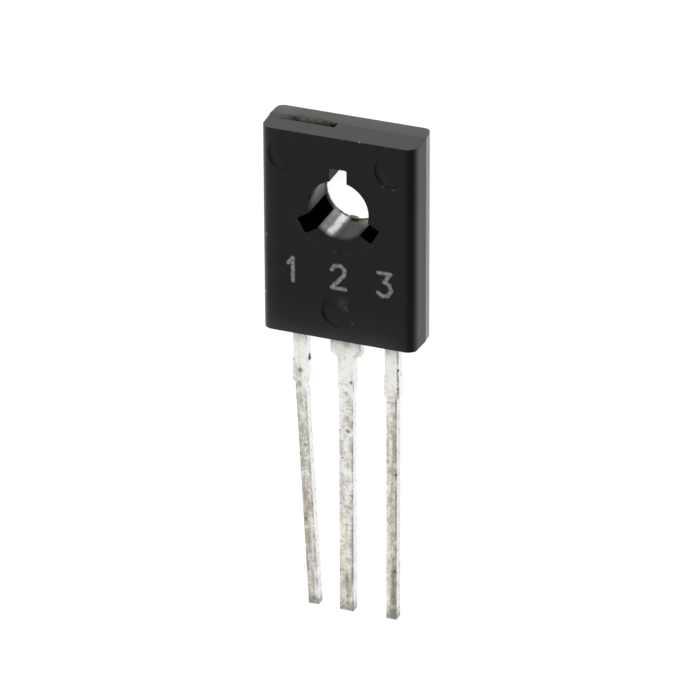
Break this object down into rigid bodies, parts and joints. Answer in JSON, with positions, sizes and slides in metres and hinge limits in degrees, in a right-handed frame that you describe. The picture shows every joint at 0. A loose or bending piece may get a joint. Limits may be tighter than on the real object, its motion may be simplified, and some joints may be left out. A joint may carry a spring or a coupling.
{
  "type": "power transistor",
  "caption": "Flat moulded power transistor with a screw hole, a bare collector plate on its rear face and three tinned leads, one leaning.",
  "frame": {"origin": "on the screw hole's axis, in the plane of the rear face", "axes": "+Z out of the front face along the screw hole, +Y towards the body's top with the leads along -Y, +X to the right in the front view"},
  "size_m": [0.0081, 0.0267, 0.0025],
  "materials": {
    "mould_compound": "fine matt moulding texture, glossy in the screw hole",
    "tinned_strip": "dull bright tin with grey streaks and cut ends",
    "silicon": "polished",
    "solder": "dull",
    "bond_wire": "bright drawn wire"
  },
  "bodies": {
    "root": {"mould_body": "mould_compound", "collector_frame": "tinned_strip", "emitter_lead": "tinned_strip", "base_lead": "tinned_strip", "silicon_die": "silicon", "die_solder": "solder", "emitter_bond_wire": "bond_wire", "base_bond_wire": "bond_wire"}
  },
  "joints": []
}
